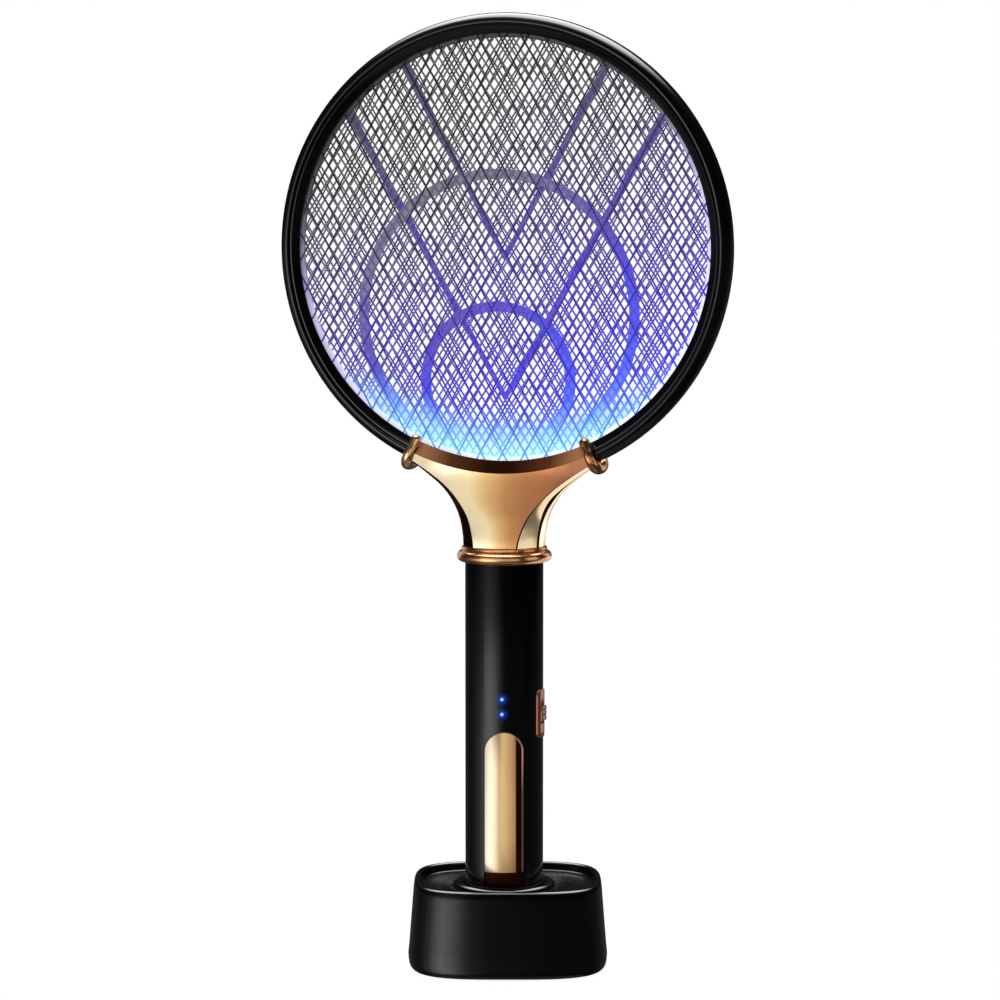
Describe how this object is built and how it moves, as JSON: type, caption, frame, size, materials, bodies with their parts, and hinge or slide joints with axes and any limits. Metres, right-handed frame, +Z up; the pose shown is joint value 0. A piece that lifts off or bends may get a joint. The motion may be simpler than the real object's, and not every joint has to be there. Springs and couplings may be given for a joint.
{
  "type": "electric fly swatter",
  "caption": "Round racket-shaped electric fly swatter with a flared metallic neck and slim round handle, standing in a low charging dock.",
  "frame": {"origin": "under the middle of the dock, on the surface it stands on", "axes": "+Z up along the handle, -Y to the racket's front, +X to its right as seen from the front"},
  "size_m": [0.217, 0.0918, 0.4464],
  "materials": {
    "gloss_black": "high gloss black moulding",
    "black_plastic": "plain black moulding",
    "rose_gold": "polished rose gold plating",
    "copper_gold": "polished copper gold plating",
    "mesh_wire": "bright wire lit blue by the lamps",
    "rib_plastic": "tinted moulding lit by the lamps",
    "rubber": "soft black",
    "circuit_board": "green solder mask",
    "steel": "plain steel",
    "brass": "gold plated contact",
    "lamp_lens": "blue lamp lens",
    "battery_wrap": "shrink wrap",
    "lead_red": "insulation"
  },
  "bodies": {
    "dock": {"dock_housing": "gloss_black", "dock_base_plate": "black_plastic", "dock_foot_1": "rubber", "dock_foot_2": "rubber", "dock_foot_3": "rubber", "dock_foot_4": "rubber", "dock_screw_1": "steel", "dock_screw_2": "steel", "contact_holder": "black_plastic", "contact_spring_left": "steel", "contact_spring_right": "steel", "dock_circuit_board": "circuit_board", "usb_socket": "steel"},
    "racket": {"hoop_front_shell": "gloss_black", "hoop_rear_shell": "gloss_black", "front_guard_mesh": "mesh_wire", "rear_guard_mesh": "mesh_wire", "high_voltage_mesh": "mesh_wire", "front_spacer_ring": "rib_plastic", "support_rib_frame": "rib_plastic", "left_collar": "copper_gold", "right_collar": "copper_gold", "uv_lamp_board_left": "circuit_board", "uv_lamp_board_right": "circuit_board", "uv_lamp_left": "lamp_lens", "uv_lamp_right": "lamp_lens", "high_voltage_lead": "lead_red", "ground_lead": "lead_red", "neck_front_shell": "rose_gold", "neck_rear_shell": "rose_gold", "neck_ring": "copper_gold", "handle_sleeve": "gloss_black", "handle_end_cap": "gloss_black", "charge_contact_left": "brass", "charge_contact_right": "brass", "battery_cell": "battery_wrap", "battery_holder": "black_plastic", "charge_circuit_board": "circuit_board", "main_circuit_board": "circuit_board", "step_up_transformer": "black_plastic", "high_voltage_capacitor": "lead_red", "indicator_lamp_lower": "lamp_lens", "indicator_lamp_upper": "lamp_lens", "trigger_spring_lower": "steel", "trigger_spring_upper": "steel", "trigger_tact_switch": "black_plastic", "mode_switch_bezel": "copper_gold", "mode_switch_body": "black_plastic", "hoop_screw_1": "steel", "hoop_screw_2": "steel", "hoop_screw_3": "steel", "hoop_screw_4": "steel", "hoop_screw_5": "steel", "hoop_screw_6": "steel"},
    "trigger": {"trigger_plate": "rose_gold"},
    "mode_slider": {"mode_switch_knob": "copper_gold"},
    "pin_left": {"contact_pin_left": "brass"},
    "pin_right": {"contact_pin_right": "brass"}
  },
  "joints": [
    {"name": "racket_lift", "type": "slide", "parent": "dock", "child": "racket", "axis": [0, 0, 1], "range_m": [0, 0.06]},
    {"name": "trigger_press", "type": "slide", "parent": "racket", "child": "trigger", "axis": [-0.2672, 0.9636, 0], "range_m": [0, 0.0012], "stiffness_N_per_m": 900, "springref_m": -0.0006, "deforming": ["trigger_spring_lower", "trigger_spring_upper"]},
    {"name": "mode_switch_slide", "type": "slide", "parent": "racket", "child": "mode_slider", "axis": [0, 0, 1], "range_m": [-0.0025, 0.0025]},
    {"name": "contact_pin_left_press", "type": "slide", "parent": "dock", "child": "pin_left", "axis": [0, 0, -1], "range_m": [0, 0.0008], "stiffness_N_per_m": 300, "springref_m": -0.0008, "deforming": ["contact_spring_left"]},
    {"name": "contact_pin_right_press", "type": "slide", "parent": "dock", "child": "pin_right", "axis": [0, 0, -1], "range_m": [0, 0.0008], "stiffness_N_per_m": 300, "springref_m": -0.0008, "deforming": ["contact_spring_right"]}
  ]
}
